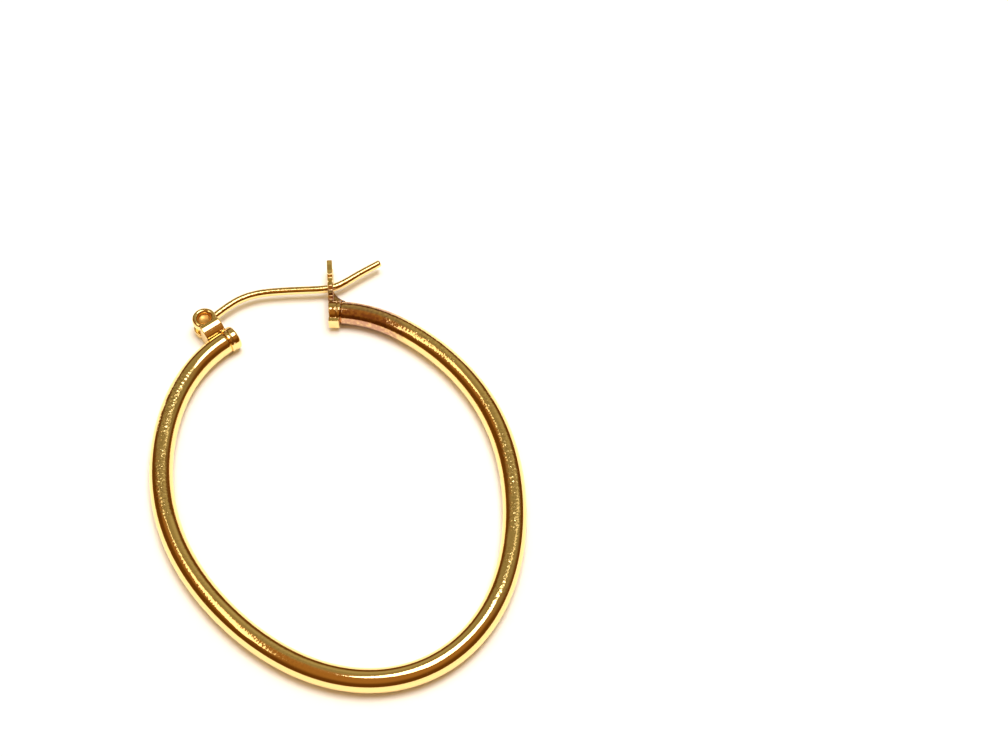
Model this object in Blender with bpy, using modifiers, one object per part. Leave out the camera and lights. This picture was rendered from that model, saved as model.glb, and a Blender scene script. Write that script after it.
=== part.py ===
"""Hoop earring lying on its side: a hollow oval tube with a capped end on
each side of the gap, a hinge with two round ears on one cap, a forked catch
plate on the other, and the bent ear wire that swings between them.
Plan view: the long axis runs along Y, the gap is at +Y, the hinge at -X.
Sizes are in millimetres and angles in degrees. Everything is drawn about
the middle of the oval and set down at the end."""

import math

import bmesh
import bpy
from mathutils import Matrix, Vector

MM = 0.001
WELD = 0.0001
CREASE_ANGLE = 40.0

# Oval of the tube's middle line
HOOP_LENGTH = 41.26
HOOP_WIDTH = 31.88
EGG_SHARE = -0.009
SQUARE_SHARE = 0.007
END_DROOP_SHARE = 0.030
DROOP_FROM_ANGLE = 38.0
HINGE_DROOP_ANGLE = 12.0
CATCH_DROOP_ANGLE = 17.0
HINGE_END_ANGLE = 13.4
CATCH_END_ANGLE = 21.2
TANGENT_STEP_ANGLE = 0.2

# Round tube
TUBE_RADIUS = 1.12
TUBE_WALL = 0.2
TUBE_STATIONS = 92
TUBE_SIDE_STEPS = 6
SEAM_GAP = 0.03

# Caps that close the tube
COLLAR_RADIUS = 1.2
COLLAR_ROUNDING = 0.22
HINGE_COLLAR_LENGTH = 1.1
PLUG_LENGTH = 0.5
PLUG_CLEARANCE = 0.05
ROUND_STEPS = 32
ARC_STEPS = 3

# Ear wire, its eye and the share of its radius that is left at root and tip
WIRE_RADIUS = 0.39
WIRE_SIDE_STEPS = 2
WIRE_STEPS_PER_SPAN = 5
WIRE_ROOT_SHARE = 0.85
WIRE_TIP_SHARE = 0.76
WIRE_TAPER_POINTS = 9
WIRE_INTO_EYE = 0.16
EYE_RADIUS = 0.66
EYE_HOLE_RADIUS = 0.36
EYE_HALF_HEIGHT = 0.35
EYE_ROUNDING = 0.1

# Bends of the wire from the hinge to its tip: share of the way to the catch
# seat, then how far outside that line, as a share of the same distance
WIRE_BENDS = (
    (0.116, 0.057),
    (0.211, 0.098),
    (0.310, 0.129),
    (0.419, 0.136),
    (0.537, 0.120),
    (0.718, 0.072),
    (0.924, 0.011),
    (1.026, -0.004),
    (1.119, 0.011),
    (1.257, 0.053),
    (1.426, 0.097),
)

# Hinge ears: where their middle sits from the tube's end, and their shape
HINGE_BACK = 0.45
HINGE_OUT = 3.1
EAR_RADIUS = 1.2
EAR_TOP = 1.16
EAR_CLEARANCE = 0.04
EAR_INNER_ROUNDING = 0.07
BOSS_RADIUS = 0.31
BOSS_REACH = 0.26
DISH_RADIUS = 0.74
DISH_DEPTH = 0.26
DISH_HOLLOW = (
    (0.0, 1.0),
    (0.45, 0.85),
    (0.8, 0.5),
    (1.0, 0.1),
)

# Foot that carries the ears, and the bridge of solder under it
FOOT_HALF_LENGTH = 1.05
FOOT_CLEARANCE = 0.05
FOOT_OUTER = 2.3
FOOT_HALF_HEIGHT = 1.2
FOOT_ROUNDING = 0.08
BRIDGE_DEPTH = 0.5
BRIDGE_HALF_HEIGHT = 0.7
BRIDGE_INSET = 0.1

# Catch plate with its fork
PLATE_THICKNESS = 0.46
PLATE_LEAN = 7.3
PLATE_OUT_LENGTH = 5.85
PLATE_FACE_AHEAD = 1.2
PLATE_TIP_HALF_WIDTH = 0.82
DISC_OPEN_ANGLE = 47.0
DISC_STEPS = 24
SEAT_OUT = 3.0
SLOT_CLEARANCE = 0.06
SLOT_FLARE = 0.16
SLOT_FLARE_LENGTH = 0.7
SLOT_FLOOR_STEPS = 10

# Waved edge of the plate: distance out from the tube, half the plate's width
EDGE_WAVE = (
    (1.00, 0.86),
    (1.35, 0.98),
    (1.75, 0.89),
    (2.10, 0.89),
    (2.55, 1.05),
    (2.95, 1.05),
    (3.30, 0.90),
    (3.60, 0.91),
    (3.90, 1.03),
    (4.20, 0.92),
    (4.60, 0.87),
    (5.20, 0.92),
)

# Strap bent under the tube's end, and the solder fillet behind the plate
STRAP_THICKNESS = 0.24
STRAP_HALF_WIDTH = 0.62
STRAP_LENGTH = 1.12
STRAP_DEPTH = 0.22
STRAP_INSET = 0.1
STRAP_ROUNDING = 0.06
FILLET_HEIGHT = 1.08
FILLET_LENGTH = 1.5
FILLET_HALF_WIDTH = 0.42
FILLET_STEPS = 6
FILLET_LIFT = 0.04
FILLET_DEPTH = 0.3
FILLET_INSET = 0.1
FILLET_HOLLOW = 2.2


def clear_scene():
    for item in list(bpy.data.objects):
        bpy.data.objects.remove(item, do_unlink=True)
    for group in list(bpy.data.collections):
        bpy.data.collections.remove(group)


def new_collection(name):
    group = bpy.data.collections.new(name)
    bpy.context.scene.collection.children.link(group)
    return group


def metal(name, colour, roughness):
    material = bpy.data.materials.new(name)
    material.use_nodes = True
    shader = material.node_tree.nodes["Principled BSDF"]
    shader.inputs["Base Color"].default_value = (*colour, 1.0)
    shader.inputs["Metallic"].default_value = 1.0
    shader.inputs["Roughness"].default_value = roughness
    material.diffuse_color = (*colour, 1.0)
    return material


def hoop_radius(angle):
    """Distance of the tube's middle line from the middle of the oval."""
    along = math.cos(angle) / HOOP_LENGTH
    across = math.sin(angle) / HOOP_WIDTH
    radius = 0.5 / math.hypot(along, across)
    from_gap = math.degrees(math.remainder(angle, 2.0 * math.pi))
    full = HINGE_DROOP_ANGLE if from_gap > 0.0 else CATCH_DROOP_ANGLE
    droop = max(0.0, DROOP_FROM_ANGLE - abs(from_gap)) / (DROOP_FROM_ANGLE - full)
    share = EGG_SHARE * math.cos(3.0 * angle)
    share += SQUARE_SHARE * math.cos(4.0 * angle)
    share -= END_DROOP_SHARE * droop * droop
    return radius * (1.0 + share)


def hoop_point(angle):
    radius = hoop_radius(angle)
    return Vector((-radius * math.sin(angle), radius * math.cos(angle), 0.0))


def hoop_direction(angle):
    step = math.radians(TANGENT_STEP_ANGLE)
    return (hoop_point(angle + step) - hoop_point(angle - step)).normalized()


def end_frame(angle, toward_gap):
    """Frame at a tube end: X along the tube into the gap, Y outward from
    the hoop, Z up."""
    forward = hoop_direction(angle) * toward_gap
    outward = Vector((-forward.y, forward.x, 0.0))
    if outward.dot(hoop_point(angle)) < 0.0:
        outward = -outward
    up = Vector((0.0, 0.0, 1.0))
    frame = Matrix((forward, outward, up)).transposed().to_4x4()
    frame.translation = hoop_point(angle)
    return frame


def mesh_object(name, mesh):
    item = bpy.data.objects.new(name, mesh)
    parts.objects.link(item)
    return item


def baked(item):
    """The object's finished mesh in place, welded, with the object removed."""
    bpy.context.view_layer.update()
    ready = item.evaluated_get(bpy.context.evaluated_depsgraph_get())
    mesh = bpy.data.meshes.new_from_object(ready)
    mesh.transform(item.matrix_world)
    bm = bmesh.new()
    bm.from_mesh(mesh)
    bmesh.ops.remove_doubles(bm, verts=bm.verts, dist=WELD)
    bmesh.ops.recalc_face_normals(bm, faces=bm.faces)
    bm.to_mesh(mesh)
    bm.free()
    name = item.name
    bpy.data.objects.remove(item, do_unlink=True)
    mesh.name = name
    return mesh_object(name, mesh)


def turned(name, profile, steps=ROUND_STEPS):
    """Round piece about Z from (radius, height) points, top to bottom."""
    mesh = bpy.data.meshes.new(name)
    points = [(radius, 0.0, height) for radius, height in profile]
    closed = profile[0][0] > 0.0
    edges = [(i, i + 1) for i in range(len(points) - 1)]
    if closed:
        edges.append((len(points) - 1, 0))
    mesh.from_pydata(points, edges, [])
    item = mesh_object(name, mesh)
    screw = item.modifiers.new("turn", "SCREW")
    screw.axis = "Z"
    screw.angle = 2.0 * math.pi
    screw.steps = steps
    screw.render_steps = steps
    screw.use_merge_vertices = True
    screw.merge_threshold = WELD
    return baked(item)


def flat_plate(name, outline, half_thickness):
    """Closed flat outline in X and Y, thickened both ways along Z."""
    curve = bpy.data.curves.new(name, "CURVE")
    curve.dimensions = "2D"
    curve.fill_mode = "BOTH"
    curve.extrude = half_thickness
    spline = curve.splines.new("POLY")
    spline.points.add(len(outline) - 1)
    for point, (x, y) in zip(spline.points, outline):
        point.co = (x, y, 0.0, 1.0)
    spline.use_cyclic_u = True
    item = bpy.data.objects.new(name, curve)
    parts.objects.link(item)
    return baked(item)


def round_rod(name, points, radius, side_steps, shares=None, capped=True):
    """Rod of the given radius along a chain of points."""
    curve = bpy.data.curves.new(name, "CURVE")
    curve.dimensions = "3D"
    curve.bevel_depth = radius
    curve.bevel_resolution = side_steps
    curve.use_fill_caps = capped
    spline = curve.splines.new("POLY")
    spline.points.add(len(points) - 1)
    for i, place in enumerate(points):
        spline.points[i].co = (*place, 1.0)
        if shares:
            spline.points[i].radius = shares[i]
    item = bpy.data.objects.new(name, curve)
    parts.objects.link(item)
    return baked(item)


def block(name, low, high, rounding=0.0):
    """Box between two corners, its edges rounded when asked."""
    bm = bmesh.new()
    bmesh.ops.create_cube(bm, size=1.0)
    size = Vector(high) - Vector(low)
    middle = (Vector(high) + Vector(low)) / 2.0
    bmesh.ops.scale(bm, vec=size, verts=bm.verts)
    bmesh.ops.translate(bm, vec=middle, verts=bm.verts)
    if rounding:
        bmesh.ops.bevel(bm, geom=bm.edges, offset=rounding, segments=2,
                        profile=0.5, affect="EDGES", clamp_overlap=True)
    mesh = bpy.data.meshes.new(name)
    bm.to_mesh(mesh)
    bm.free()
    return mesh_object(name, mesh)


def placed(item, matrix):
    item.data.transform(matrix)
    item.data.update()
    return item


def joined(name, items):
    """One solid from overlapping closed pieces."""
    base = items[0]
    for other in items[1:]:
        merge = base.modifiers.new("join", "BOOLEAN")
        merge.operation = "UNION"
        merge.solver = "EXACT"
        merge.object = other
        result = baked(base)
        bpy.data.objects.remove(other, do_unlink=True)
        base = result
    base.name = name
    base.data.name = name
    return base


def smooth_chain(bends, steps):
    """Points of a smooth line through all the bends."""
    ends = [bends[0] * 2.0 - bends[1]] + bends + [bends[-1] * 2.0 - bends[-2]]
    chain = []
    for a, b, c, d in zip(ends, ends[1:], ends[2:], ends[3:]):
        for i in range(steps):
            t = i / steps
            line = b * 2.0 + (c - a) * t
            bend = (a * 2.0 - b * 5.0 + c * 4.0 - d) * t * t
            twist = (b * 3.0 - a - c * 3.0 + d) * t * t * t
            chain.append((line + bend + twist) / 2.0)
    chain.append(bends[-1])
    return chain


def make_hoop_tube():
    """Thin-walled tube round the oval, open at both ends."""
    first = math.radians(HINGE_END_ANGLE)
    last = math.radians(360.0 - CATCH_END_ANGLE)
    span = (last - first) / TUBE_STATIONS
    path = [hoop_point(first + span * i) for i in range(TUBE_STATIONS + 1)]
    tube = round_rod("hoop_tube", path, TUBE_RADIUS, TUBE_SIDE_STEPS, capped=False)
    wall = tube.modifiers.new("wall", "SOLIDIFY")
    wall.thickness = TUBE_WALL
    wall.offset = -1.0
    wall.use_even_offset = True
    tube = baked(tube)
    tube.name = "hoop_tube"
    return tube


def round_edge(radius, top, rounding):
    """Quarter arc in a profile, from the top face down to the side."""
    arc = []
    for i in range(ARC_STEPS + 1):
        angle = math.pi / 2.0 * i / ARC_STEPS
        out = radius - rounding * (1.0 - math.sin(angle))
        arc.append((out, top - rounding * (1.0 - math.cos(angle))))
    return arc


def plug_profile(front):
    """Plug inside the tube, collar outside it and a rounded front."""
    bore = TUBE_RADIUS - TUBE_WALL - PLUG_CLEARANCE
    return [
        (0.0, front),
        *round_edge(COLLAR_RADIUS, front, COLLAR_ROUNDING),
        (COLLAR_RADIUS, SEAM_GAP),
        (bore, SEAM_GAP),
        (bore, -PLUG_LENGTH),
        (0.0, -PLUG_LENGTH),
    ]


def along_tube():
    """Turns a piece made about Z so that it lies along the tube's X."""
    return Matrix.Rotation(math.radians(90.0), 4, "Y")


def hinge_middle():
    """Middle of the hinge, in the frame of the tube's hinge end."""
    return Vector((-HINGE_BACK, HINGE_OUT, 0.0))


def hinge_place():
    return end_frame(math.radians(HINGE_END_ANGLE), -1.0) @ hinge_middle()


def ear_profile():
    """Half of the hinge: a round ear with a pressed dish in its outer face
    and the matching boss inside."""
    inner = WIRE_RADIUS + EAR_CLEARANCE
    dish = [(DISH_RADIUS * share, EAR_TOP - DISH_DEPTH * depth) for share, depth in DISH_HOLLOW]
    rim = (EAR_RADIUS - DISH_RADIUS) / 2.0
    return [
        *dish,
        *round_edge(EAR_RADIUS, EAR_TOP, rim),
        (EAR_RADIUS, inner + EAR_INNER_ROUNDING),
        (EAR_RADIUS - EAR_INNER_ROUNDING, inner),
        (BOSS_RADIUS, inner),
        (BOSS_RADIUS, inner - BOSS_REACH),
        (0.0, inner - BOSS_REACH),
    ]


def make_hinge_cap():
    """Cap on the hinge end with the foot and the two ears soldered on."""
    frame = end_frame(math.radians(HINGE_END_ANGLE), -1.0)
    collar = turned("collar", plug_profile(HINGE_COLLAR_LENGTH))
    placed(collar, frame @ along_tube())
    back = -HINGE_BACK - FOOT_HALF_LENGTH
    front = -HINGE_BACK + FOOT_HALF_LENGTH
    inner = TUBE_RADIUS + FOOT_CLEARANCE
    foot = block("foot", (back, inner, -FOOT_HALF_HEIGHT), (front, FOOT_OUTER, FOOT_HALF_HEIGHT),
                 FOOT_ROUNDING)
    placed(foot, frame)
    bridge = block("bridge", (SEAM_GAP, COLLAR_RADIUS - BRIDGE_DEPTH, -BRIDGE_HALF_HEIGHT),
                   (front - BRIDGE_INSET, FOOT_OUTER - BRIDGE_INSET, BRIDGE_HALF_HEIGHT))
    placed(bridge, frame)
    pieces = [collar, bridge, foot]
    for half_turn in (0.0, math.pi):
        ear = turned("ear", ear_profile())
        placed(ear, Matrix.Rotation(half_turn, 4, "X"))
        placed(ear, frame @ Matrix.Translation(hinge_middle()))
        pieces.append(ear)
    return joined("hinge_cap", pieces)


def plate_frame():
    """Frame of the catch plate: X along its outward length, Y across it
    (up when the hoop lies flat), Z through its thickness into the gap."""
    end = end_frame(math.radians(-CATCH_END_ANGLE), 1.0)
    lean = Matrix.Rotation(math.radians(PLATE_LEAN), 4, "Z").inverted()
    start = Matrix.Translation((PLATE_FACE_AHEAD - PLATE_THICKNESS / 2.0, 0.0, 0.0))
    axes = Matrix(((0.0, 0.0, 1.0), (1.0, 0.0, 0.0), (0.0, 1.0, 0.0))).to_4x4()
    return end @ start @ lean @ axes


def fork_outline():
    """Round end disc, waved edges and two prongs with the wire's slot."""
    open_half = math.radians(DISC_OPEN_ANGLE)
    disc = []
    for i in range(DISC_STEPS + 1):
        angle = open_half + (math.pi - open_half) * 2.0 * i / DISC_STEPS
        disc.append((COLLAR_RADIUS * math.cos(angle), COLLAR_RADIUS * math.sin(angle)))
    rising = [(out, -half) for out, half in EDGE_WAVE]
    rising.append((PLATE_OUT_LENGTH, -PLATE_TIP_HALF_WIDTH))
    slot = WIRE_RADIUS + SLOT_CLEARANCE
    mouth = slot + SLOT_FLARE
    throat = PLATE_OUT_LENGTH - SLOT_FLARE_LENGTH
    inside = [(PLATE_OUT_LENGTH, -mouth), (throat, -slot)]
    for i in range(SLOT_FLOOR_STEPS + 1):
        angle = -math.pi / 2.0 - math.pi * i / SLOT_FLOOR_STEPS
        inside.append((SEAT_OUT + slot * math.cos(angle), slot * math.sin(angle)))
    inside += [(throat, slot), (PLATE_OUT_LENGTH, mouth)]
    falling = [(out, -across) for out, across in reversed(rising)]
    return disc + rising + inside + falling


def fillet_outline():
    """Side view of the solder behind the plate: high at the plate, running
    out hollow along the tube."""
    start = PLATE_FACE_AHEAD - PLATE_THICKNESS / 2.0
    base = TUBE_RADIUS + FILLET_LIFT
    outline = []
    for i in range(FILLET_STEPS + 1):
        share = i / FILLET_STEPS
        rise = FILLET_HEIGHT * (1.0 - share) ** FILLET_HOLLOW
        outline.append((start - FILLET_LENGTH * share, base + rise))
    seam = SEAM_GAP + FILLET_INSET
    outline += [(seam, base), (seam, base - FILLET_DEPTH), (start, base - FILLET_DEPTH)]
    return outline


def make_catch_cap():
    """Cap on the catch end with the forked plate, its strap under the tube
    end and the solder fillet behind it."""
    frame = end_frame(math.radians(-CATCH_END_ANGLE), 1.0)
    collar = turned("collar", plug_profile(PLATE_FACE_AHEAD - PLATE_THICKNESS / 2.0))
    placed(collar, frame @ along_tube())
    plate = flat_plate("plate", fork_outline(), PLATE_THICKNESS / 2.0)
    placed(plate, plate_frame())
    back = PLATE_FACE_AHEAD - STRAP_LENGTH
    front = PLATE_FACE_AHEAD - STRAP_INSET
    outer = -COLLAR_RADIUS - STRAP_THICKNESS
    strap = block("strap", (back, outer, -STRAP_HALF_WIDTH),
                  (front, STRAP_DEPTH - COLLAR_RADIUS, STRAP_HALF_WIDTH), STRAP_ROUNDING)
    placed(strap, frame)
    fillet = flat_plate("fillet", fillet_outline(), FILLET_HALF_WIDTH)
    placed(fillet, frame)
    return joined("catch_cap", [plate, collar, strap, fillet])


def eye_profile():
    """Flattened ring at the end of the wire."""
    return [
        (EYE_RADIUS - EYE_ROUNDING, EYE_HALF_HEIGHT),
        (EYE_RADIUS, EYE_HALF_HEIGHT - EYE_ROUNDING),
        (EYE_RADIUS, EYE_ROUNDING - EYE_HALF_HEIGHT),
        (EYE_RADIUS - EYE_ROUNDING, -EYE_HALF_HEIGHT),
        (EYE_HOLE_RADIUS, -EYE_HALF_HEIGHT),
        (EYE_HOLE_RADIUS, EYE_HALF_HEIGHT),
    ]


def make_ear_wire():
    """Bent wire with a flat pierced eye that turns on the ears' bosses."""
    hinge = hinge_place()
    eye = turned("eye", eye_profile())
    placed(eye, Matrix.Translation(hinge))
    seat = plate_frame() @ Vector((SEAT_OUT, 0.0, 0.0))
    reach = seat - hinge
    aside = Vector((-reach.y, reach.x, 0.0))
    bends = [hinge + reach * along + aside * out for along, out in WIRE_BENDS]
    leave = (bends[0] - hinge).normalized()
    root = hinge + leave * (EYE_RADIUS - WIRE_INTO_EYE)
    line = smooth_chain([root] + bends, WIRE_STEPS_PER_SPAN)
    taper = (1.0 - WIRE_TIP_SHARE) / WIRE_TAPER_POINTS
    left = range(len(line) - 1, -1, -1)
    shares = [1.0 - taper * max(0, WIRE_TAPER_POINTS - i) for i in left]
    shares[0] = WIRE_ROOT_SHARE
    shank = round_rod("shank", line, WIRE_RADIUS, WIRE_SIDE_STEPS, shares)
    return joined("ear_wire", [eye, shank])


def set_down(items, pivot_item, pivot):
    """Scales to metres, puts the middle of the outline at the origin with
    the lowest point at height 0, and the wire's origin on its hinge."""
    corners = [vertex.co for item in items for vertex in item.data.vertices]
    low = Vector([min(corner[i] for corner in corners) for i in range(3)])
    high = Vector([max(corner[i] for corner in corners) for i in range(3)])
    base = Vector(((low.x + high.x) / 2.0, (low.y + high.y) / 2.0, low.z))
    scale = Matrix.Scale(MM, 4) @ Matrix.Translation(-base)
    for item in items:
        item.data.transform(scale)
    hinge = scale @ pivot
    pivot_item.data.transform(Matrix.Translation(-hinge))
    pivot_item.location = hinge


def finish(item, material):
    """Material on, round sides smooth and sharp edges left sharp."""
    item.data.materials.clear()
    item.data.materials.append(material)
    item.data.shade_smooth()
    bm = bmesh.new()
    bm.from_mesh(item.data)
    for edge in bm.edges:
        if edge.calc_face_angle(0.0) > math.radians(CREASE_ANGLE):
            edge.smooth = False
    bm.to_mesh(item.data)
    bm.free()


clear_scene()
parts = new_collection("hoop_earring")

yellow_gold = metal("polished_gold", (0.83, 0.62, 0.25), 0.18)
solder_gold = metal("soldered_gold", (0.80, 0.60, 0.26), 0.22)
tarnished_gold = metal("tarnished_gold", (0.72, 0.48, 0.22), 0.26)
wire_gold = metal("wire_gold", (0.82, 0.62, 0.27), 0.2)

hoop_tube = make_hoop_tube()
hinge_cap = make_hinge_cap()
catch_cap = make_catch_cap()
ear_wire = make_ear_wire()
set_down([hoop_tube, hinge_cap, catch_cap, ear_wire], ear_wire, hinge_place())
finish(hoop_tube, yellow_gold)
finish(hinge_cap, solder_gold)
finish(catch_cap, tarnished_gold)
finish(ear_wire, wire_gold)
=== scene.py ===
# %% [markdown]
# # Hoop earring: dressing the measured model
# The measured model gives every piece its true size and place. This lesson
# gives the pieces their gold: smooth reflections, fine scratches, tarnish from
# the soldering torch, and the soft studio light that polished metal needs.
# Everything is in metres and stays where the measured model puts it.

# %% Load the measured model
import math

import bmesh
import bpy
from mathutils import Matrix, Vector


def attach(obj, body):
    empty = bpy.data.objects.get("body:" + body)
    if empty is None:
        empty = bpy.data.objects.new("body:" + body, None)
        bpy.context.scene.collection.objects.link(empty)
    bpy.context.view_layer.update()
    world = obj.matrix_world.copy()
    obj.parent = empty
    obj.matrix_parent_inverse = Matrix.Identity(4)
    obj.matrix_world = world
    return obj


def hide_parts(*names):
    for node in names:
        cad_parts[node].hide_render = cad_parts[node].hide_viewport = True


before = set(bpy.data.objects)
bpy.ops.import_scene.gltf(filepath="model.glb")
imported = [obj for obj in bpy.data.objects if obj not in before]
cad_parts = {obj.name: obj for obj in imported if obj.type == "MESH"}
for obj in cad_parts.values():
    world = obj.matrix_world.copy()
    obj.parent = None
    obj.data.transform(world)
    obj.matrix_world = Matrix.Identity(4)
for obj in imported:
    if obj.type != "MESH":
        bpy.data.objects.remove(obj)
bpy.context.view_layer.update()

# %% [markdown]
# ## Camera
# The hoop lies on white paper and is seen from 57 degrees above it, with its
# long axis leaning to the left. The lens is long, so the oval shows almost no
# perspective. A camera is aimed by turning its -Z axis to the target.

# %% Camera
EYE = Vector((-0.022426, -0.0934545, 0.163655))
LOOK_AT = Vector((0.018824, 0.0036465, 0.0012))
lens = bpy.data.cameras.new("product_lens")
lens.lens = 71.43
lens.sensor_width = 36.0
lens.clip_start = 0.005
lens.clip_end = 20.0
camera = bpy.data.objects.new("product_camera", lens)
camera.location = EYE
camera.rotation_euler = (LOOK_AT - EYE).to_track_quat("-Z", "Y").to_euler()
bpy.context.scene.collection.objects.link(camera)
bpy.context.scene.camera = camera
print("camera looks down by", round(math.degrees(math.asin(-(LOOK_AT - EYE).normalized().z)), 1))

# %% [markdown]
# ## Shader arithmetic
# Writing node trees link by link hides what they compute. A small class holds
# an output socket and overloads the operators, so a mask can be written as
# `1 - worn * 0.5`. Every other node comes from one method of the finish.

# %% Values and node trees
class Value:
    """One output socket that can take part in arithmetic."""

    def __init__(self, nodes, socket):
        self.nodes = nodes
        self.socket = socket

    def maths(self, operation, first, second):
        return self.nodes.node("ShaderNodeMath", {"operation": operation}, {0: first, 1: second})

    def __add__(self, other):
        return self.maths("ADD", self, other)

    __radd__ = __add__

    def __sub__(self, other):
        return self.maths("SUBTRACT", self, other)

    def __rsub__(self, other):
        return self.maths("SUBTRACT", other, self)

    def __mul__(self, other):
        return self.maths("MULTIPLY", self, other)

    __rmul__ = __mul__


class Nodes:
    """A node tree with one way to add a node."""

    def __init__(self, tree):
        self.tree = tree

    def feed(self, socket, value):
        if isinstance(value, Value):
            self.tree.links.new(value.socket, socket)
        else:
            socket.default_value = value

    def node(self, kind, settings, sockets, out=0):
        made = self.tree.nodes.new(kind)
        for key, value in settings.items():
            if key == "stops":
                set_stops(made.color_ramp, value)
            else:
                setattr(made, key, value)
        for key, value in sockets.items():
            self.feed(made.inputs[key], value)
        return Value(self, made.outputs[out])

    def rise(self, value, low, high):
        """0 below low, 1 above high, and a soft step between them."""
        settings = {"interpolation_type": "SMOOTHSTEP"}
        return self.node("ShaderNodeMapRange", settings, {0: value, 1: low, 2: high, 3: 0.0, 4: 1.0})

    def blend(self, share, first, second):
        """Colour that goes from first to second as share goes from 0 to 1."""
        settings = {"data_type": "RGBA"}
        return self.node("ShaderNodeMix", settings, {0: share, 6: first, 7: second}, 2)


class Finish(Nodes):
    """A material being built round the standard shader."""

    def __init__(self, name):
        self.material = bpy.data.materials.new(name)
        self.material.use_nodes = True
        Nodes.__init__(self, self.material.node_tree)
        self.shader = self.tree.nodes["Principled BSDF"]

    def shade(self, socket, value):
        self.feed(self.shader.inputs[socket], value)


def set_stops(ramp, stops):
    while len(ramp.elements) < len(stops):
        ramp.elements.new(1.0)
    for element, (place, colour) in zip(ramp.elements, stops):
        element.position = place
        element.color = colour


def ink(red, green, blue):
    """A colour as the four numbers that a colour socket takes."""
    return (red, green, blue, 1.0)


print("shader helpers ready")

# %% [markdown]
# ## Paper
# The surface is plain white paper, bright enough to wash out, so that only
# the touch of the metal leaves a shadow. One big square is enough; a faint
# noise keeps it from being a dead flat colour.

# %% Paper
PAPER_HALF_SIDE = 1.5


def new_piece(name, bm):
    """An object at the origin whose mesh is in place, from a bmesh in metres."""
    mesh = bpy.data.meshes.new(name)
    bm.to_mesh(mesh)
    bm.free()
    mesh.shade_smooth()
    item = bpy.data.objects.new(name, mesh)
    bpy.context.scene.collection.objects.link(item)
    return item


def make_paper():
    bm = bmesh.new()
    bmesh.ops.create_grid(bm, x_segments=1, y_segments=1, size=PAPER_HALF_SIDE)
    paper = new_piece("white_paper", bm)
    finish = Finish("white_paper")
    place = finish.node("ShaderNodeTexCoord", {}, {}, "Object")
    tooth = finish.node("ShaderNodeTexNoise", {}, {"Vector": place, "Scale": 900.0, "Detail": 3.0}, 0)
    finish.shade("Base Color", finish.blend(tooth, ink(0.87, 0.868, 0.86), ink(0.91, 0.908, 0.90)))
    finish.shade("Roughness", 0.9)
    finish.shade("Specular IOR Level", 0.1)
    paper.data.materials.append(finish.material)


make_paper()
print("paper side, m:", 2 * PAPER_HALF_SIDE)

# %% [markdown]
# ## Light
# Polished metal has no look of its own: it shows what surrounds it. A dim,
# warm room gives the dark bands along the tube, a white softbox overhead the
# broad highlight, and a narrow one at the left the thin bright line. A dim
# panel stands at the far right. They are placed from the view of the camera:
# `right` and `away` are directions on the paper as the camera sees them. Two
# more lights are hidden from reflections, so they reach only the paper: one
# nearly overhead draws the shadow under the wire, and a wide golden one
# colours it, as light thrown back by gold does.

# %% Room and softboxes
AWAY = Vector((LOOK_AT.x - EYE.x, LOOK_AT.y - EYE.y, 0.0)).normalized()
RIGHT = Vector((AWAY.y, -AWAY.x, 0.0))
LIGHT_HEIGHT = 0.6
OLIVE_WALL = AWAY * 0.966 + RIGHT * 0.259
WHITE = (1.0, 0.98, 0.95)


def softbox(name, right, away, width, depth, radiance, colour, turn=0.0, height=LIGHT_HEIGHT, seen=True):
    """Rectangle of light over the paper that faces the hoop."""
    light = bpy.data.lights.new(name, "AREA")
    light.shape = "RECTANGLE"
    light.size = width
    light.size_y = depth
    light.energy = radiance * math.pi * width * depth
    light.color = colour
    item = bpy.data.objects.new(name, light)
    place = RIGHT * right + AWAY * away + Vector((0.0, 0.0, height))
    aim = place.normalized()
    across = Matrix.Rotation(turn, 3, aim) @ AWAY.cross(aim).normalized()
    frame_axes = Matrix((across, aim.cross(across), aim)).transposed()
    item.matrix_world = Matrix.Translation(place) @ frame_axes.to_4x4()
    item.visible_glossy = seen
    item.visible_camera = False
    bpy.context.scene.collection.objects.link(item)


def light_room():
    """Brown behind the camera, olive on the far side, dark low down."""
    world = bpy.data.worlds.new("dim_warm_room")
    bpy.context.scene.world = world
    world.use_nodes = True
    room = Nodes(world.node_tree)
    look = room.node("ShaderNodeTexCoord", {}, {}, "Generated")
    ahead = room.node("ShaderNodeVectorMath", {"operation": "DOT_PRODUCT"}, {0: look, 1: OLIVE_WALL}, 1)
    height = room.node("ShaderNodeSeparateXYZ", {}, {0: look}, "Z")
    near = room.blend(room.rise(height, 0.45, 0.8), ink(0.13, 0.045, 0.006), ink(0.36, 0.16, 0.04))
    raised = room.rise(height, 0.25, 0.6)
    wall = room.blend(room.rise(ahead, 0.1, 0.42) * raised, near, ink(0.30, 0.24, 0.12))
    window = room.rise(ahead, 0.5, 0.75) * room.rise(height, 0.35, 0.6) * 0.5
    wall = room.blend(window, wall, ink(0.55, 0.46, 0.27))
    wall = room.blend(1 - room.rise(height, 0.0, 0.08), wall, ink(0.45, 0.33, 0.18))
    room.feed(room.tree.nodes["Background"].inputs["Color"], wall)


light_room()
# Right, away, width and depth in metres, then radiance and colour
softbox("overhead_softbox", 0.090, 0.080, 0.27, 0.27, 4.6, WHITE, turn=-0.42)
softbox("left_strip", -0.36, 0.02, 0.13, 0.6, 1.6, (1.0, 0.93, 0.72), turn=-0.5)
softbox("dim_panel", 0.30, 0.30, 0.45, 0.07, 0.9, (1.0, 0.92, 0.75), turn=0.35)
softbox("light_for_paper", 0.05, 0.08, 0.40, 0.40, 5.4, (0.95, 0.97, 1.0), seen=False)
softbox("fill_for_paper", 0.0, 0.1, 1.5, 1.5, 0.55, (1.0, 0.82, 0.50), seen=False)
scene = bpy.context.scene
scene.view_settings.view_transform = "Standard"
scene.view_settings.look = "None"

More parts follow.
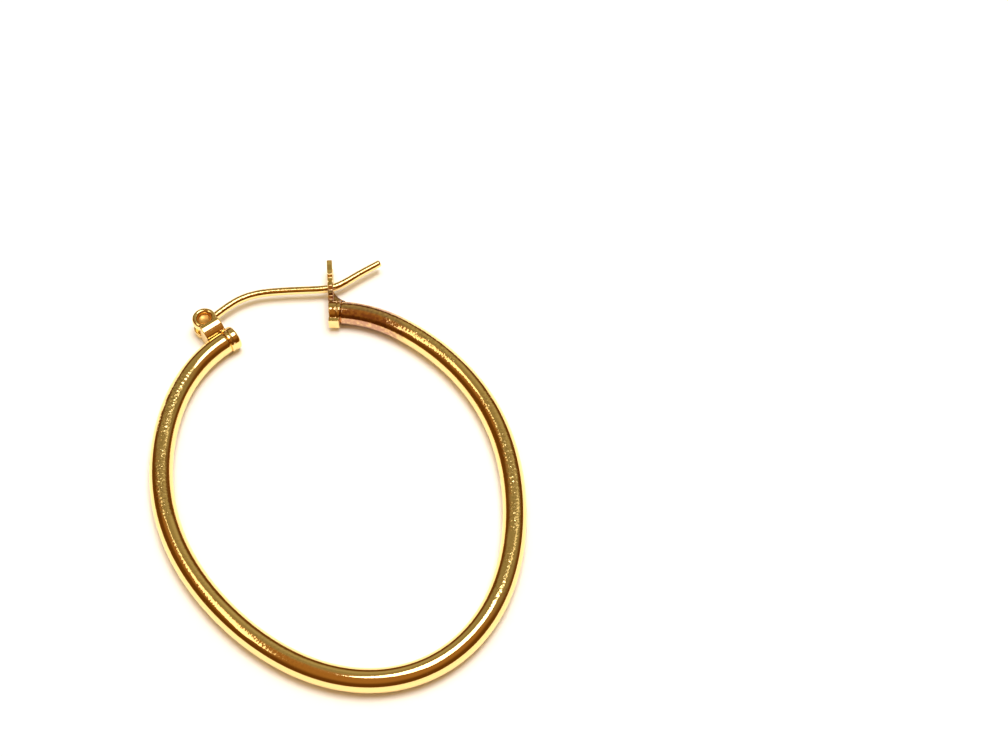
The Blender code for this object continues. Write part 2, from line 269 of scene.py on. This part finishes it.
# %% [markdown]
# ## Shape of the tube
# The tube is a round section carried along an oval. The same named sizes as
# in the measured model give its middle line, so the fine tube fits the old
# one. It starts as an ellipse, made slightly egg-shaped and square, and is
# pressed in a little at both ends of the gap.

# %% Oval of the tube
MM = 0.001
HOOP_LENGTH = 41.26
HOOP_WIDTH = 31.88
EGG_SHARE = -0.009
SQUARE_SHARE = 0.007
END_DROOP_SHARE = 0.030
DROOP_FROM_ANGLE = 38.0
HINGE_DROOP_ANGLE = 12.0
CATCH_DROOP_ANGLE = 17.0
HINGE_END_ANGLE = 13.4
CATCH_END_ANGLE = 21.2
TANGENT_STEP_ANGLE = 0.2
OVAL_MIDDLE = Vector((0.0002565, -0.9929943, 1.2))


def hoop_point(angle):
    along = math.cos(angle) / HOOP_LENGTH
    across = math.sin(angle) / HOOP_WIDTH
    from_gap = math.degrees(math.remainder(angle, 2.0 * math.pi))
    full = HINGE_DROOP_ANGLE if from_gap > 0.0 else CATCH_DROOP_ANGLE
    droop = max(0.0, DROOP_FROM_ANGLE - abs(from_gap)) / (DROOP_FROM_ANGLE - full)
    share = 1.0 + EGG_SHARE * math.cos(3.0 * angle) + SQUARE_SHARE * math.cos(4.0 * angle)
    radius = 0.5 / math.hypot(along, across) * (share - END_DROOP_SHARE * droop * droop)
    return Vector((-radius * math.sin(angle), radius * math.cos(angle), 0.0))


def end_frame(angle, toward_gap):
    """Millimetre frame at a place on the tube: X along it, Y outward, Z up."""
    step = math.radians(TANGENT_STEP_ANGLE)
    forward = (hoop_point(angle + step) - hoop_point(angle - step)).normalized() * toward_gap
    outward = Vector((-forward.y, forward.x, 0.0))
    if outward.dot(hoop_point(angle)) < 0.0:
        outward = -outward
    up = Vector((0.0, 0.0, 1.0))
    axes = Matrix((forward, outward, up)).transposed().to_4x4()
    axes.translation = hoop_point(angle) + OVAL_MIDDLE
    return axes


HINGE_PLACE = end_frame(math.radians(HINGE_END_ANGLE), -1.0)
CATCH_PLACE = end_frame(math.radians(-CATCH_END_ANGLE), 1.0)
print("oval middle line, mm:", round(hoop_point(0.0).y, 2), round(hoop_point(math.pi / 2).x, 2))

# %% [markdown]
# ## Skin of the tube
# A circle of edges is extruded from station to station along the oval, which
# keeps the quads square to the tube and the reflections unbroken. The skin is
# a hair thinner than the measured tube, so it stays inside the measured size.

# %% Extrude the tube
TUBE_RADIUS = 1.12
TUBE_SKIN_SHARE = 0.999
TUBE_SIDES = 48
TUBE_STATIONS = 420


def sweep(bm, stations, radii, sides):
    """Adds a closed skin through rings of the given radius at each frame."""
    circle = bmesh.ops.create_circle(bm, segments=sides, radius=1.0, cap_ends=True)
    ring = circle["verts"]
    cap = ring[0].link_faces[0]
    edges = list(cap.edges)
    before = stations[0] @ Matrix.Scale(radii[0], 4)
    bmesh.ops.transform(bm, matrix=before @ Matrix.Rotation(math.pi / 2, 4, "Y"), verts=ring)
    for station, radius in zip(stations[1:], radii[1:]):
        here = station @ Matrix.Scale(radius, 4)
        grown = bmesh.ops.extrude_edge_only(bm, edges=edges)["geom"]
        ring = [g for g in grown if isinstance(g, bmesh.types.BMVert)]
        edges = [g for g in grown if isinstance(g, bmesh.types.BMEdge)]
        bmesh.ops.transform(bm, matrix=here @ before.inverted(), verts=ring)
        before = here
    bmesh.ops.contextual_create(bm, geom=edges)


def make_tube():
    first = math.radians(HINGE_END_ANGLE)
    last = math.radians(360.0 - CATCH_END_ANGLE)
    angles = [first + (last - first) * i / TUBE_STATIONS for i in range(TUBE_STATIONS + 1)]
    stations = [end_frame(angle, 1.0) for angle in angles]
    bm = bmesh.new()
    sweep(bm, stations, [TUBE_RADIUS * TUBE_SKIN_SHARE] * len(stations), TUBE_SIDES)
    bmesh.ops.recalc_face_normals(bm, faces=bm.faces)
    bmesh.ops.scale(bm, vec=(MM, MM, MM), verts=bm.verts)
    return new_piece("tube_skin", bm)


tube = make_tube()
print("tube faces:", len(tube.data.polygons))

# %% [markdown]
# ## Turned and soldered pieces
# The end caps are small turned and pressed pieces that solder has flowed
# round. Each shape is made on its own in millimetres: a profile spun into a
# collar or an ear, an outline thickened into the foot or the plate. A voxel
# remesh then melts the overlapping shapes into one skin, and a little
# smoothing rounds the edges as polishing does. The remesh can't work with the
# same sizes in metres, so a skin is scaled down when it is finished.

# %% Spin and fuse
COLLAR_RADIUS = 1.2
COLLAR_ROUNDING = 0.24
GROOVE_AT = 0.40
GROOVE_DEPTH = 0.07
SEAM_GAP = 0.03


def spun(bm, profile, matrix, steps=96):
    """Adds a closed turned shape: (radius, height) points spun about Z."""
    earlier = set(bm.verts)
    verts = [bm.verts.new((radius, 0.0, height)) for radius, height in profile]
    edges = [bm.edges.new(pair) for pair in zip(verts, verts[1:])]
    if profile[0][0] > 0.0:
        edges.append(bm.edges.new((verts[-1], verts[0])))
    bmesh.ops.spin(bm, geom=verts + edges, cent=(0, 0, 0), axis=(0, 0, 1), dvec=(0, 0, 0),
                   angle=2 * math.pi, steps=steps, use_merge=True)
    bmesh.ops.transform(bm, matrix=matrix, verts=[v for v in bm.verts if v not in earlier])


def arc(middle, radius, start, stop, steps):
    """Points of an arc in a profile; the angles are from the radius axis."""
    angles = [math.radians(start + (stop - start) * i / steps) for i in range(steps + 1)]
    return [(middle[0] + radius * math.cos(a), middle[1] + radius * math.sin(a)) for a in angles]


def fused(name, bm, voxel, rounds):
    """One skin over overlapping closed shapes, smoothed, then in metres."""
    bmesh.ops.remove_doubles(bm, verts=bm.verts, dist=0.0001)
    bmesh.ops.recalc_face_normals(bm, faces=bm.faces)
    rough = new_piece(name + "_rough", bm)
    melt = rough.modifiers.new("melt", "REMESH")
    melt.mode = "VOXEL"
    melt.voxel_size = voxel
    soften = rough.modifiers.new("soften", "SMOOTH")
    soften.factor = 0.5
    soften.iterations = rounds
    bpy.context.view_layer.update()
    ready = rough.evaluated_get(bpy.context.evaluated_depsgraph_get())
    mesh = bpy.data.meshes.new_from_object(ready)
    mesh.transform(Matrix.Scale(MM, 4))
    mesh.name = name
    mesh.shade_smooth()
    bpy.data.objects.remove(rough, do_unlink=True)
    item = bpy.data.objects.new(name, mesh)
    bpy.context.scene.collection.objects.link(item)
    return item


def slab(bm, outline, half, matrix, rounding):
    """Adds a closed outline in X and Y, thick both ways, with rounded rims."""
    earlier = set(bm.verts)
    verts = [bm.verts.new((x, y, -half)) for x, y in outline]
    face = bm.faces.new(verts)
    grown = bmesh.ops.extrude_face_region(bm, geom=[face])["geom"]
    tops = [g for g in grown if isinstance(g, bmesh.types.BMVert)]
    bmesh.ops.translate(bm, vec=(0, 0, 2 * half), verts=tops)
    rims = {edge for vert in verts + tops for edge in vert.link_edges
            if abs(edge.verts[0].co.z - edge.verts[1].co.z) < half}
    bmesh.ops.bevel(bm, geom=list(rims), offset=rounding, segments=4, profile=0.5, affect="EDGES",
                    clamp_overlap=True, material=-1)
    bmesh.ops.transform(bm, matrix=matrix, verts=[v for v in bm.verts if v not in earlier])


def collar_profile(front):
    """Cap over the tube end: a bead at the seam, a groove, a soft front."""
    soft = COLLAR_ROUNDING
    return [
        (0.0, front),
        *arc((COLLAR_RADIUS - soft, front - soft), soft, 90, 0, 8),
        (COLLAR_RADIUS, GROOVE_AT + 0.06),
        (COLLAR_RADIUS - GROOVE_DEPTH, GROOVE_AT),
        (COLLAR_RADIUS - 0.02, GROOVE_AT - 0.06),
        (COLLAR_RADIUS, GROOVE_AT - 0.14),
        (COLLAR_RADIUS, SEAM_GAP + 0.04),
        (COLLAR_RADIUS - 0.05, SEAM_GAP),
        (0.0, SEAM_GAP),
    ]


ALONG = Matrix.Rotation(math.pi / 2, 4, "Y")
OUT_AND_UP = Matrix(((0, 0, 1), (1, 0, 0), (0, 1, 0))).to_4x4()
print("collar radius, mm:", COLLAR_RADIUS)

# %% [markdown]
# ## Hinge cap
# On the real earring a collar closes the tube, a foot is soldered to its side
# and two round ears with pressed dishes hold the wire between them. Collar and
# ears are spun. The foot is an outline thickened along the tube; its near side
# is an arc round the tube, so that it follows the tube and doesn't cut into it.

# %% Hinge cap
HINGE_COLLAR_LENGTH = 1.1
HINGE_BACK = 0.45
HINGE_OUT = 3.1
EAR_RADIUS = 1.2
EAR_TOP = 1.16
EAR_INNER = 0.43
DISH_RADIUS = 0.64
DISH_DEPTH = 0.24
FOOT_HALF_LENGTH = 1.05
FOOT_CLEARANCE = 0.05
FOOT_HOLLOW_ANGLE = 32
FOOT_ROUNDING = 0.1
FOOT_TOP = ((1.14, 0.80), (1.35, 0.96), (1.65, 1.10), (2.0, 1.18), (2.35, 1.2))
BRIDGE_LOW = (SEAM_GAP, 0.6, -0.7)
BRIDGE_HIGH = (0.5, 2.2, 0.6)
HINGE_VOXEL = 0.028
HINGE_SMOOTHING_ROUNDS = 6


def box_shape(bm, low, high, matrix):
    """Adds a box between two corners."""
    low, high = Vector(low), Vector(high)
    verts = bmesh.ops.create_cube(bm, size=1.0)["verts"]
    bmesh.ops.scale(bm, vec=high - low, verts=verts)
    bmesh.ops.translate(bm, vec=(high + low) / 2, verts=verts)
    bmesh.ops.transform(bm, matrix=matrix, verts=verts)


def ear_profile():
    """Half section of an ear: deep round dish, rolled rim, flat inner face."""
    roll = (EAR_RADIUS - DISH_RADIUS) / 2
    crest = (DISH_RADIUS + roll, EAR_TOP - roll)
    dish = [(DISH_RADIUS * math.sin(a), crest[1] - DISH_DEPTH * math.cos(a))
            for a in (math.pi / 2 * i / 12 for i in range(12))]
    rim = arc(crest, roll, 180, 0, 16)
    return dish + rim + [(EAR_RADIUS, EAR_INNER + 0.06), (EAR_RADIUS - 0.06, EAR_INNER), (0.0, EAR_INNER)]


def make_hinge():
    place = HINGE_PLACE
    bm = bmesh.new()
    spun(bm, collar_profile(HINGE_COLLAR_LENGTH), place @ ALONG)
    near = arc((0, 0), TUBE_RADIUS + FOOT_CLEARANCE, -FOOT_HOLLOW_ANGLE, FOOT_HOLLOW_ANGLE, 8)
    under = [(out, -up) for out, up in reversed(FOOT_TOP)]
    foot_place = place @ Matrix.Translation((-HINGE_BACK, 0, 0)) @ OUT_AND_UP
    slab(bm, near + list(FOOT_TOP) + under, FOOT_HALF_LENGTH, foot_place, FOOT_ROUNDING)
    box_shape(bm, BRIDGE_LOW, BRIDGE_HIGH, place)
    middle = place @ Matrix.Translation((-HINGE_BACK, HINGE_OUT, 0))
    for half_turn in (0.0, math.pi):
        spun(bm, ear_profile(), middle @ Matrix.Rotation(half_turn, 4, "X"))
    return fused("hinge_skin", bm, HINGE_VOXEL, HINGE_SMOOTHING_ROUNDS)


hinge = make_hinge()
print("hinge faces:", len(hinge.data.polygons))

# %% [markdown]
# ## Catch cap
# The catch is a flat plate with a slot for the wire, soldered over the end
# cap. Its edge rises and falls in small nubs. One outline round the disc, the
# nubs and the slot gives the plate its shape. A strap below and a hollow
# fillet of solder behind the plate are shapes of their own.

# %% Catch cap
CATCH_COLLAR_LENGTH = 0.97
PLATE_ROUNDING = 0.12
PLATE_THICKNESS = 0.56
PLATE_LEAN = 7.3
PLATE_OUT_LENGTH = 5.85
PLATE_FACE_AHEAD = 1.2
SEAT_OUT = 3.0
SLOT_HALF = 0.48
SLOT_FLARE = 0.16
SLOT_FLARE_LENGTH = 0.7
DISC_OPEN_ANGLE = 47
EDGE_WAVE = (
    (1.00, 0.86), (1.35, 1.03), (1.75, 0.89), (2.10, 0.89), (2.55, 1.09), (2.95, 1.09),
    (3.30, 0.90), (3.60, 0.91), (3.90, 1.08), (4.20, 0.92), (4.60, 0.87), (5.20, 0.92),
    (5.85, 0.82),
)
STRAP_LOW = (0.08, -1.44, -0.62)
STRAP_HIGH = (1.1, -0.98, 0.62)
FILLET_FOOT = 1.16
FILLET_HEIGHT = 1.08
FILLET_LENGTH = 1.5
FILLET_HOLLOW = 2.2
FILLET_HALF_WIDTH = 0.42
FILLET_ROUNDING = 0.1
FILLET_STEPS = 8
CATCH_VOXEL = 0.03
CATCH_SMOOTHING_ROUNDS = 3


def plate_frame(place):
    """Plate frame: X out from the tube, Y up, Z through its thickness."""
    lean = Matrix.Rotation(math.radians(-PLATE_LEAN), 4, "Z")
    start = Matrix.Translation((PLATE_FACE_AHEAD - PLATE_THICKNESS / 2, 0, 0))
    return place @ start @ lean @ OUT_AND_UP


def fork_outline():
    """Round the disc, out along one edge, down and up the slot, and back."""
    disc = arc((0, 0), COLLAR_RADIUS, DISC_OPEN_ANGLE, 360 - DISC_OPEN_ANGLE, 40)
    rising = [(out, -half) for out, half in EDGE_WAVE]
    flare_from = PLATE_OUT_LENGTH - SLOT_FLARE_LENGTH
    slot = [(PLATE_OUT_LENGTH, -SLOT_HALF - SLOT_FLARE), (flare_from, -SLOT_HALF)]
    floor = arc((SEAT_OUT, 0), SLOT_HALF, -90, -270, 12)
    back = [(flare_from, SLOT_HALF), (PLATE_OUT_LENGTH, SLOT_HALF + SLOT_FLARE)]
    falling = [(out, half) for out, half in reversed(EDGE_WAVE)]
    return disc + rising + slot + floor + back + falling


def fillet_outline():
    """Hollow slope from the plate down to the tube, closed inside the collar."""
    start = PLATE_FACE_AHEAD - PLATE_THICKNESS / 2
    shares = [i / FILLET_STEPS for i in range(FILLET_STEPS + 1)]
    hollow = [(start - FILLET_LENGTH * s, FILLET_FOOT + FILLET_HEIGHT * (1 - s) ** FILLET_HOLLOW)
              for s in shares]
    return hollow + [(0.12, FILLET_FOOT), (0.12, 0.74), (start, 0.74)]


def make_catch():
    place = CATCH_PLACE
    bm = bmesh.new()
    spun(bm, collar_profile(CATCH_COLLAR_LENGTH), place @ ALONG)
    slab(bm, fork_outline(), PLATE_THICKNESS / 2, plate_frame(place), PLATE_ROUNDING)
    box_shape(bm, STRAP_LOW, STRAP_HIGH, place)
    slab(bm, fillet_outline(), FILLET_HALF_WIDTH, place, FILLET_ROUNDING)
    return fused("catch_skin", bm, CATCH_VOXEL, CATCH_SMOOTHING_ROUNDS)


catch = make_catch()
print("catch faces:", len(catch.data.polygons))

# %% [markdown]
# ## Ear wire
# The wire is bent freely, so its bends are a short table: how far along the
# way to the catch, and how far outside that line. A smooth chain through them
# carries the round section. The pierced eye at the hinge is spun.

# %% Ear wire
WIRE_RADIUS = 0.39
WIRE_ROOT_SHARE = 0.85
WIRE_TIP_LOSS = 0.10
WIRE_TAPER_POINTS = 25
WIRE_SIDES = 24
WIRE_STEPS_PER_BEND = 14
ROOT_FROM_PIVOT = 0.5
EYE_PROFILE = (
    (0.56, 0.35), (0.63, 0.32), (0.66, 0.25), (0.66, -0.25), (0.63, -0.32), (0.56, -0.35),
    (0.36, -0.35), (0.36, 0.35),
)
WIRE_BENDS = (
    (0.116, 0.057), (0.211, 0.098), (0.310, 0.129), (0.419, 0.136), (0.537, 0.120), (0.718, 0.072),
    (0.924, 0.011), (1.026, -0.004), (1.119, 0.011), (1.257, 0.053), (1.426, 0.097),
)


def smooth_chain(bends, steps):
    """Points of a smooth line through all the bends."""
    ends = [bends[0] * 2 - bends[1]] + bends + [bends[-1] * 2 - bends[-2]]
    chain = []
    for a, b, c, d in zip(ends, ends[1:], ends[2:], ends[3:]):
        for i in range(steps):
            t = i / steps
            bend = (a * 2 - b * 5 + c * 4 - d) * t * t + (b * 3 - a - c * 3 + d) * t * t * t
            chain.append((b * 2 + (c - a) * t + bend) / 2)
    return chain + [bends[-1]]


def wire_frames(line):
    frames = []
    for i, point in enumerate(line):
        forward = (line[min(i + 1, len(line) - 1)] - line[max(i - 1, 0)]).normalized()
        up = Vector((0, 0, 1))
        axes = Matrix((forward, up.cross(forward), up)).transposed().to_4x4()
        axes.translation = point
        frames.append(axes)
    return frames


def make_wire():
    pivot = HINGE_PLACE @ Vector((-HINGE_BACK, HINGE_OUT, 0))
    seat = plate_frame(CATCH_PLACE) @ Vector((SEAT_OUT, 0, 0))
    reach = seat - pivot
    aside = Vector((-reach.y, reach.x, 0))
    bends = [pivot + reach * along + aside * out for along, out in WIRE_BENDS]
    root = pivot + (bends[0] - pivot).normalized() * ROOT_FROM_PIVOT
    line = smooth_chain([root] + bends, WIRE_STEPS_PER_BEND)
    to_tip = [(len(line) - 1 - i) / WIRE_TAPER_POINTS for i in range(len(line))]
    radii = [WIRE_RADIUS * (1 - WIRE_TIP_LOSS * max(0, 1 - left)) for left in to_tip]
    radii[0] = WIRE_RADIUS * WIRE_ROOT_SHARE
    bm = bmesh.new()
    sweep(bm, wire_frames(line), radii, WIRE_SIDES)
    spun(bm, EYE_PROFILE, Matrix.Translation(pivot))
    bmesh.ops.recalc_face_normals(bm, faces=bm.faces)
    bmesh.ops.scale(bm, vec=(MM, MM, MM), verts=bm.verts)
    return new_piece("wire_skin", bm)


wire = make_wire()
print("wire faces:", len(wire.data.polygons))

# %% [markdown]
# ## Gold
# The tube was polished and then worn: the flat sides that it lies on are
# covered in fine random scratches that catch the lights as bright flecks,
# while the curved flanks still shine. Gold is a metallic shader with a warm
# colour, the scratches a bump of noise a few tenths of a millimetre wide,
# held to the flat sides by the height of the surface over the paper. Some
# stretches of the oval are more worn than others, so a ramp over the angle
# round the oval thins the scratches out where the tube is still smooth.

# %% Gold finish
GOLD = (1.0, 0.76, 0.33)
# Colour of darker specks in the scuffs; on the wire they are painted shade
GRIME_AND_PAINTED_SHADE = (0.50, 0.36, 0.13)
WORN_PLACES = (
    (0, 0.1), (27, 0.1), (32, 1.0), (80, 1.0), (85, 0.35), (151, 0.35), (158, 0.1), (204, 0.1),
    (209, 0.8), (324, 0.8), (333, 0.1), (360, 0.1),
)


def worn_round_oval(finish, mm, places):
    """How worn the metal is at each angle from the gap, from (degrees, share)."""
    across = finish.node("ShaderNodeSeparateXYZ", {}, {0: mm}, "X") - OVAL_MIDDLE.x
    along = finish.node("ShaderNodeSeparateXYZ", {}, {0: mm}, "Y") - OVAL_MIDDLE.y
    turned = finish.node("ShaderNodeMath", {"operation": "ARCTAN2"}, {0: 0 - across, 1: along})
    share = finish.node("ShaderNodeMath", {"operation": "FRACT"}, {0: turned * (0.5 / math.pi)})
    stops = [(degrees / 360, ink(worn, worn, worn)) for degrees, worn in places]
    return finish.node("ShaderNodeValToRGB", {"stops": stops}, {0: share})


def gold(name, roughness, fleck_depth, scuffed=(0.90, 1.08), grime_and_shade=0.5, places=()):
    """Polished gold, scuffed on top and underneath with darker specks, which on the wire are painted
    shade; also returns its colour.
    """
    finish = Finish(name)
    metres = finish.node("ShaderNodeTexCoord", {}, {}, "Object")
    mm = finish.node("ShaderNodeVectorMath", {"operation": "SCALE"}, {0: metres, "Scale": 1000.0})
    height = finish.node("ShaderNodeSeparateXYZ", {}, {0: mm}, "Z") - OVAL_MIDDLE.z
    flank = finish.node("ShaderNodeMath", {"operation": "ABSOLUTE"}, {0: height})
    flecks = finish.node("ShaderNodeTexNoise", {}, {
        "Vector": mm, "Scale": 3.6, "Detail": 1.5, "Roughness": 0.5}, 0)
    patches = finish.node("ShaderNodeTexNoise", {}, {"Vector": mm, "Scale": 0.30, "Detail": 2.0}, 0)
    worn = finish.rise(flank, *scuffed) * (0.25 + 0.75 * finish.rise(patches, 0.36, 0.56))
    if places:
        worn = worn * worn_round_oval(finish, mm, places)
    bump = finish.node("ShaderNodeBump", {}, {
        "Height": flecks * worn, "Distance": fleck_depth * MM, "Strength": 1.0}, "Normal")
    finish.shade("Normal", bump)
    finish.shade("Roughness", worn * (roughness * 0.6) + roughness * 0.6)
    finish.shade("Metallic", 1.0)
    pits = finish.node("ShaderNodeTexNoise", {}, {"Vector": mm, "Scale": 4.4, "Detail": 2.0}, 0)
    # Darker specks in the scuffed places; with the wire's high share they are painted shade dimming the
    # reflections on its top and underside
    colour = finish.blend(finish.rise(pits, 0.44, 0.62) * worn * grime_and_shade, ink(*GOLD), ink(*GRIME_AND_PAINTED_SHADE))
    finish.shade("Base Color", colour)
    return finish, mm, height, colour


print("stops of wear round the oval:", len(WORN_PLACES))

# %% [markdown]
# ## Tarnish
# The soldering torch left a brown film round the catch. It is a second colour
# mixed in by the distance from the hot spot. Noise makes its edge ragged and
# its face mottled, and it is rubbed thin on top, where fingers polish it.

# %% Tarnish
SCORCHED = (0.54, 0.30, 0.20)


def tarnish(finish, mm, height, colour, heart, start, stop, raggedness=4.0):
    """Brown film that the torch left round a place; its top is rubbed bright."""
    away = finish.node("ShaderNodeVectorMath", {"operation": "DISTANCE"}, {0: mm, 1: heart}, 1)
    ragged = finish.node("ShaderNodeTexNoise", {}, {"Vector": mm, "Scale": 0.9, "Detail": 3.0}, 0)
    mottle = finish.node("ShaderNodeTexNoise", {}, {"Vector": mm, "Scale": 2.6, "Detail": 3.0}, 0)
    share = 1 - finish.rise(away + (ragged - 0.5) * raggedness, start, stop)
    rubbed = 1 - finish.rise(height, 0.95, 1.1) * 0.5
    share = share * rubbed * (0.5 + 0.9 * finish.rise(mottle, 0.3, 0.7))
    finish.shade("Base Color", finish.blend(share, colour, ink(*SCORCHED)))


print("tarnish colour:", SCORCHED)

# %% [markdown]
# ## Matt dishes with painted reflection
# A polishing wheel hardly reaches into the dishes pressed into the ears, so
# they are matt. Their orange inside a bright rim is a painted reflection: it
# stands in for the light that the gold throws back and forth in each hollow.
# Seen from above they are circles round the hinge axis, so the distance from
# it in plan is the mask.

# %% Matt dishes
# Orange painted into the dishes as a reflection of the gold round them
PAINTED_DISH_REFLECTION = (1.0, 0.62, 0.20)


def matt_dish_with_painted_reflection(finish, mm, height, colour, middle):
    """The pressed dish of each ear is matt, with a painted orange reflection redder than its rolled rim.
    """
    axis = (middle.x, middle.y, 0)
    plan = finish.node("ShaderNodeVectorMath", {"operation": "MULTIPLY"}, {0: mm, 1: (1, 1, 0)})
    away = finish.node("ShaderNodeVectorMath", {"operation": "DISTANCE"}, {0: plan, 1: axis}, 1)
    dish = 1 - finish.rise(away, 0.5, 0.68)
    # Painted reflection: orange where the gold would light its own hollow
    finish.shade("Base Color", finish.blend(dish, colour, ink(*PAINTED_DISH_REFLECTION)))
    finish.shade("Roughness", dish * 0.3 + 0.09)


print("dish colour:", PAINTED_DISH_REFLECTION)

# %% [markdown]
# ## Dress the pieces
# Every piece gets its own gold: the tube the most scratched, the wire darker on
# top and underneath, a painted shade that dims its reflections there, the catch
# brown at its solder. Each one stands in for its measured piece and rides on
# the body that it belongs to, so the wire still swings.

# %% Dress the pieces
tube_parts = gold("tube_gold", 0.11, 0.045, places=WORN_PLACES)
tarnish(*tube_parts, CATCH_PLACE.translation, 4.6, 8.2)
hinge_parts = gold("hinge_gold", 0.10, 0.006, grime_and_shade=0.1)
matt_dish_with_painted_reflection(*hinge_parts, HINGE_PLACE @ Vector((-HINGE_BACK, HINGE_OUT, 0)))
catch_parts = gold("catch_gold", 0.12, 0.01)
tarnish(*catch_parts, CATCH_PLACE @ Vector((0.2, 1.2, -0.4)), 1.2, 2.8, 1.5)
# Painted shade: the wire's darker specks on top and underneath dim its reflections
wire_parts = gold("wire_gold", 0.11, 0.012, (0.15, 0.36), 0.9)
for piece, finish, node, slot, body in (
        (tube, tube_parts[0], "hoop_tube", "polished_gold", "hoop"),
        (hinge, hinge_parts[0], "hinge_cap", "soldered_gold", "hoop"),
        (catch, catch_parts[0], "catch_cap", "tarnished_gold", "hoop"),
        (wire, wire_parts[0], "ear_wire", "wire_gold", "ear_wire")):
    piece.data.materials.append(finish.material)
    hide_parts(node)
    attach(piece, body)
print("materials:", sorted(m.name for m in bpy.data.materials))
